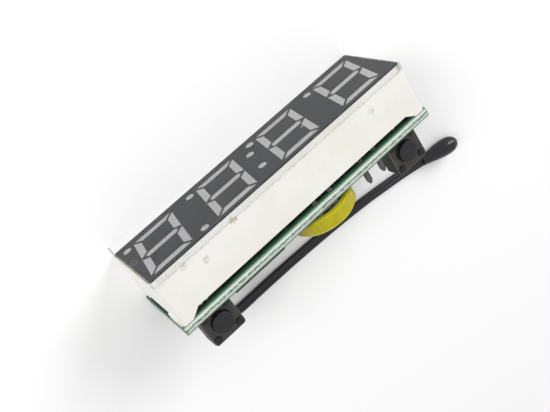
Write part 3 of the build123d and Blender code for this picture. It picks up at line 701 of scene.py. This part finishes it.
class DISPLAY_OT_board(bpy.types.Operator):
    """Finishes the circuit board and the parts soldered to it"""

    bl_idname = "display.board"
    bl_label = "Finish the board"

    def execute(self, context):
        colours = context.scene.display_colours
        give(masked_laminate(colours), "circuit_board")
        give(reflowed_tin("bright_tin_solder", colours.solder, 0.2), "display_solder_joints")
        # The joints in the gap are dark grey-green: flux residue, and painted shade of the gap
        # under the housing
        give(reflowed_tin("fluxed_tin_solder_in_painted_shade", linear("#3c413a"), 0.45), "front_solder_joints")
        give(reflowed_tin("dipped_tin_leads", colours.solder, 0.28), "display_pins",
             "clock_chip_leads", "controller_chip_leads", "voltage_regulator_leads",
             "input_diode_terminals", "chip_end_caps", "right_switch_terminals",
             "left_switch_terminals", "thermistor_wires")
        give(moulded_polymer("moulded_chip_epoxy", colours.chip[:], 0.5), "clock_chip",
             "controller_chip", "voltage_regulator", "input_diode")
        give(fired_ceramic("glazed_resistor_body", linear("#19191b")), "chip_resistors")
        give(fired_ceramic("fired_capacitor_body", linear("#8c7452")), "chip_capacitors")
        return {"FINISHED"}


class DISPLAY_OT_legend(bpy.types.Operator):
    """Prints outlines round the parts behind the board and plates its test pads"""

    bl_idname = "display.legend"
    bl_label = "Print the legend"

    def execute(self, context):
        sizes = context.scene.display_print
        colours = context.scene.display_colours
        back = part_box("circuit_board")[1][1]
        outlines = []
        for node in OUTLINED_PARTS:
            low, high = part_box(node)
            width = high[0] - low[0] + 2 * (sizes.margin + sizes.line)
            height = high[2] - low[2] + 2 * (sizes.margin + sizes.line)
            bpy.ops.object.select_all(action="DESELECT")
            bpy.ops.mesh.primitive_plane_add(
                size=1.0, location=((low[0] + high[0]) / 2, back, (low[2] + high[2]) / 2),
                rotation=(math.radians(-90), 0, 0))
            outline = context.object
            outline.scale = (width, height, 1.0)
            bpy.ops.object.transform_apply(location=False, rotation=False, scale=True)
            bpy.ops.object.mode_set(mode="EDIT")
            bpy.ops.mesh.select_all(action="SELECT")
            bpy.ops.mesh.inset(thickness=sizes.line, use_even_offset=True)
            bpy.ops.mesh.delete(type="FACE")
            bpy.ops.mesh.select_all(action="SELECT")
            bpy.ops.mesh.extrude_region_move(
                TRANSFORM_OT_translate={"value": (0, INK_THICKNESS, 0)})
            bpy.ops.object.mode_set(mode="OBJECT")
            outlines.append(outline)
        finish_piece(outlines, "board_legend", screen_ink(colours))

        pads = []
        for x, z in TEST_PADS:
            bpy.ops.object.select_all(action="DESELECT")
            bpy.ops.mesh.primitive_cylinder_add(
                vertices=24, radius=sizes.pad_radius, depth=2 * INK_THICKNESS,
                location=(x * MM, back + INK_THICKNESS, z * MM), rotation=(math.radians(90), 0, 0))
            pad = context.object
            bpy.ops.object.mode_set(mode="EDIT")
            bpy.ops.mesh.select_all(action="DESELECT")
            bpy.ops.object.mode_set(mode="OBJECT")
            for face in pad.data.polygons:
                face.select = face.normal.z < -0.9
            bpy.ops.object.mode_set(mode="EDIT")
            bpy.ops.mesh.inset(thickness=sizes.pad_radius * 0.45)
            bpy.ops.transform.translate(value=(0, -INK_THICKNESS, 0))
            bpy.ops.object.mode_set(mode="OBJECT")
            pads.append(pad)
        finish_piece(pads, "board_test_pads",
                     reflowed_tin("hot_air_levelled_tin", colours.solder, 0.25))
        return {"FINISHED"}


class DISPLAY_OT_joints(bpy.types.Operator):
    """Adds the switches' bright solder joints on the front face of the board"""

    bl_idname = "display.joints"
    bl_label = "Solder the switches in front"

    def execute(self, context):
        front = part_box("circuit_board")[0][1]
        joints = []
        for x, z in SWITCH_JOINTS:
            bpy.ops.object.select_all(action="DESELECT")
            bpy.ops.mesh.primitive_uv_sphere_add(
                segments=20, ring_count=12, radius=JOINT_RADIUS,
                location=(x * MM, front, z * MM))
            joint = context.object
            bpy.ops.object.transform_apply(location=True, rotation=False, scale=False)
            bpy.ops.object.mode_set(mode="EDIT")
            bpy.ops.mesh.select_all(action="SELECT")
            bpy.ops.mesh.bisect(plane_co=(0, front, 0), plane_no=(0, 1, 0), use_fill=True,
                                clear_outer=True)
            bpy.ops.mesh.select_all(action="SELECT")
            bpy.ops.transform.resize(value=(1.0, 1.3, 1.0), center_override=(0, front, 0))
            bpy.ops.object.mode_set(mode="OBJECT")
            bpy.ops.object.shade_smooth_by_angle(angle=math.radians(40))
            joints.append(joint)
        bright = reflowed_tin("switch_joint_tin", linear("#aeaea8"), 0.2)
        finish_piece(joints, "switch_front_joints", bright)
        return {"FINISHED"}


class DISPLAY_OT_curl(bpy.types.Operator):
    """Makes the film's free corner, curled up over the left end of the top"""

    bl_idname = "display.curl"
    bl_label = "Curl the film's corner"

    def execute(self, context):
        radius = context.scene.display_print.film_curl
        low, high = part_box("protective_film")
        bpy.ops.object.select_all(action="DESELECT")
        bpy.ops.mesh.primitive_plane_add(
            size=CURL_SIDE,
            location=(low[0] + CURL_INSET, high[1] - CURL_INSET, high[2] + CURL_LIFT))
        curl = context.object
        bpy.ops.object.transform_apply(location=True, rotation=False, scale=False)
        edge = min(vertex.co.x for vertex in curl.data.vertices)
        bpy.ops.object.mode_set(mode="EDIT")
        bpy.ops.mesh.select_all(action="DESELECT")
        bpy.ops.mesh.select_mode(type="EDGE")
        bpy.ops.object.mode_set(mode="OBJECT")
        for side in curl.data.edges:
            side.select = all(curl.data.vertices[v].co.x < edge + 1e-6 for v in side.vertices)
        bpy.ops.object.mode_set(mode="EDIT")
        bpy.ops.mesh.spin(steps=10, angle=math.radians(CURL_TURN), axis=(0, 1, 0),
                          center=(edge, 0, high[2] + radius))
        bpy.ops.mesh.select_mode(type="VERT")
        bpy.ops.object.mode_set(mode="OBJECT")
        solid = curl.modifiers.new("thickness", "SOLIDIFY")
        solid.thickness = FILM_THICKNESS
        bpy.ops.object.modifier_apply(modifier=solid.name)
        finish_piece([curl], "film_corner_curl",
                     cast_film(context.scene.display_colours))
        return {"FINISHED"}


class DISPLAY_OT_switches(bpy.types.Operator):
    """Finishes the two push switches"""

    bl_idname = "display.switches"
    bl_label = "Finish the switches"

    def execute(self, context):
        colours = context.scene.display_colours
        base = moulded_polymer("glass_filled_nylon", linear("#161617"), 0.45)
        button = moulded_polymer("moulded_button_nylon", colours.button[:], 0.38)
        # Dark colour is painted reflection of a dark surround on top of the plates' tarnish
        cover = pressed_sheet("tarnished_cover_dark_as_painted_reflection", colours.cover[:], 0.42, 3.2,
                              border=COVER_BORDER)
        dome = pressed_sheet("silvered_snap_dome", colours.nickel[:], 0.2, 1.0)
        for side in ("right", "left"):
            give(base, f"{side}_switch_base")
            give(button, f"{side}_switch_button")
            give(cover, f"{side}_switch_plate")
            give(dome, f"{side}_switch_dome")
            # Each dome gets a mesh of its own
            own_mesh(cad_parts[f"{side}_switch_dome"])
        return {"FINISHED"}


class DISPLAY_OT_supply(bpy.types.Operator):
    """Finishes the coin cell, its sleeve and tabs, and the power pins"""

    bl_idname = "display.supply"
    bl_label = "Finish the supply parts"

    def execute(self, context):
        colours = context.scene.display_colours
        give(shrunk_sleeve(colours), "cell_sleeve")
        give(pressed_sheet("nickel_plated_steel", colours.nickel[:], 0.25, 1.0), "coin_cell",
             "cell_near_tab", "cell_far_tab")
        give(reflowed_tin("oxidised_pin_plating", linear("#5f5d58"), 0.36), "power_pins")
        return {"FINISHED"}


class DISPLAY_OT_stage(bpy.types.Operator):
    """Sets the floor, the light and the camera"""

    bl_idname = "display.stage"
    bl_label = "Set the stage"

    def execute(self, context):
        studio = context.scene.display_studio
        bpy.ops.object.select_all(action="DESELECT")
        bpy.ops.mesh.primitive_plane_add(size=3.0)
        floor = context.object
        floor.name = "floor"
        material, tree, shader, mm = new_material("plain_matt_paper")
        connect(tree, shader, {"Base Color": studio.floor[:], "Roughness": 0.9,
                               "Specular IOR Level": 0.1})
        # Past the object's shadow the floor shows as an even white
        away = add_node(tree, "VectorMath", {0: mm}, out="Value", operation="LENGTH")
        away = add_node(tree, "MapRange", {"Value": away, 1: FLOOR_FADE[0], 2: FLOOR_FADE[1]})
        seen = seen_by(tree, "Is Camera Ray", "Is Glossy Ray")
        away = add_node(tree, "Math", {0: away, 1: seen}, operation="MULTIPLY")
        white = add_node(tree, "Emission", {"Color": linear("#ffffff")})
        faded = add_node(tree, "MixShader", {0: away, 1: shader.outputs[0], 2: white})
        output = next(node for node in tree.nodes if node.type == "OUTPUT_MATERIAL")
        connect(tree, output, {"Surface": faded})
        give(material, floor)

        world = bpy.data.worlds.new("studio")
        world.use_nodes = True
        tree = world.node_tree
        tree.nodes.clear()
        seen = seen_by(tree, "Is Camera Ray", "Is Glossy Ray", "Is Transmission Ray")
        strength = add_node(tree, "MapRange", {"Value": seen, 3: studio.ambient, 4: 1.0})
        sky = add_node(tree, "Background", {"Color": linear("#ffffff"), "Strength": strength})
        add_node(tree, "OutputWorld", {"Surface": sky}, out=None)
        context.scene.world = world

        for name, place, power in (("left_lamp", LEFT_LAMP_PLACE, studio.left_lamp),
                                   ("right_lamp", RIGHT_LAMP_PLACE, studio.right_lamp)):
            bpy.ops.object.light_add(type="AREA", location=place)
            lamp = context.object
            lamp.name = name
            lamp.data.size = LAMP_WIDTH
            lamp.data.energy = power
            lamp.rotation_euler = (Vector(place) - LAMP_AIM).to_track_quat("Z", "Y").to_euler()

        bpy.ops.object.camera_add(location=studio.position, rotation=studio.turn)
        camera = context.object
        camera.data.sensor_width = 36.0
        camera.data.lens = studio.lens
        camera.data.clip_start = 0.01
        camera.data.clip_end = 10.0
        context.scene.camera = camera
        context.scene.view_settings.view_transform = "Standard"
        return {"FINISHED"}


class DISPLAY_PT_panel(bpy.types.Panel):
    """Lists the steps that dress the display module"""

    bl_label = "Display module"
    bl_idname = "DISPLAY_PT_panel"
    bl_space_type = "VIEW_3D"
    bl_region_type = "UI"
    bl_category = "Display module"

    def draw(self, context):
        for step in STEPS:
            self.layout.operator(step.bl_idname)
        scene = context.scene
        for group in (scene.display_colours, scene.display_print, scene.display_lead,
                      scene.display_studio):
            for name in group.__annotations__:
                self.layout.prop(group, name)


STEPS = (DISPLAY_OT_lead, DISPLAY_OT_face, DISPLAY_OT_board, DISPLAY_OT_legend,
         DISPLAY_OT_joints, DISPLAY_OT_curl, DISPLAY_OT_switches, DISPLAY_OT_supply,
         DISPLAY_OT_stage)
GROUPS = (DisplayColours, PrintSettings, LeadSettings, StudioSettings)
CLASSES = GROUPS + STEPS + (DISPLAY_PT_panel,)


def register():
    for item in CLASSES:
        bpy.utils.register_class(item)
    bpy.types.Scene.display_colours = PointerProperty(type=DisplayColours)
    bpy.types.Scene.display_print = PointerProperty(type=PrintSettings)
    bpy.types.Scene.display_lead = PointerProperty(type=LeadSettings)
    bpy.types.Scene.display_studio = PointerProperty(type=StudioSettings)


def unregister():
    del bpy.types.Scene.display_studio
    del bpy.types.Scene.display_lead
    del bpy.types.Scene.display_print
    del bpy.types.Scene.display_colours
    for item in reversed(CLASSES):
        bpy.utils.unregister_class(item)


def main():
    register()
    bpy.ops.display.lead()
    bpy.ops.display.face()
    bpy.ops.display.board()
    bpy.ops.display.legend()
    bpy.ops.display.joints()
    bpy.ops.display.curl()
    bpy.ops.display.switches()
    bpy.ops.display.supply()
    bpy.ops.display.stage()


if __name__ == "__main__":
    main()
